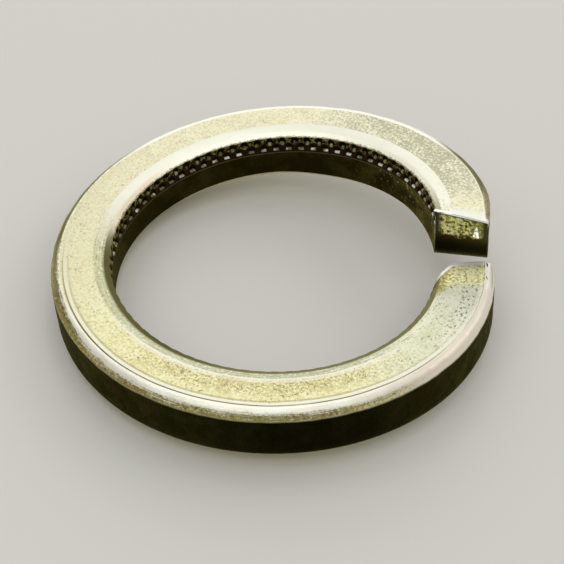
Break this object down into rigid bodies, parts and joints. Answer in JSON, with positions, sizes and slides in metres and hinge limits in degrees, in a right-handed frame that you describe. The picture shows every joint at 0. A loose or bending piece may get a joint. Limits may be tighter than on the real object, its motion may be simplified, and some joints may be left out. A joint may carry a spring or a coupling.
{
  "type": "spring lock washer",
  "caption": "Split spring lock washer: a left-hand turn of square steel wire whose cut ends stand one above the other, with a finely knurled bore edge.",
  "frame": {"origin": "on the bore's axis, at the height of the lowest point of the lower end", "axes": "+Z along the bore's axis, from the lower end to the upper end; +X through the split; +Y completes the right-handed frame"},
  "size_m": [0.0226, 0.0226, 0.0063],
  "materials": {
    "steel": "bright warm plated steel, worn on the edges, grainy on the cut ends"
  },
  "bodies": {
    "root": {"washer": "steel"}
  },
  "joints": []
}
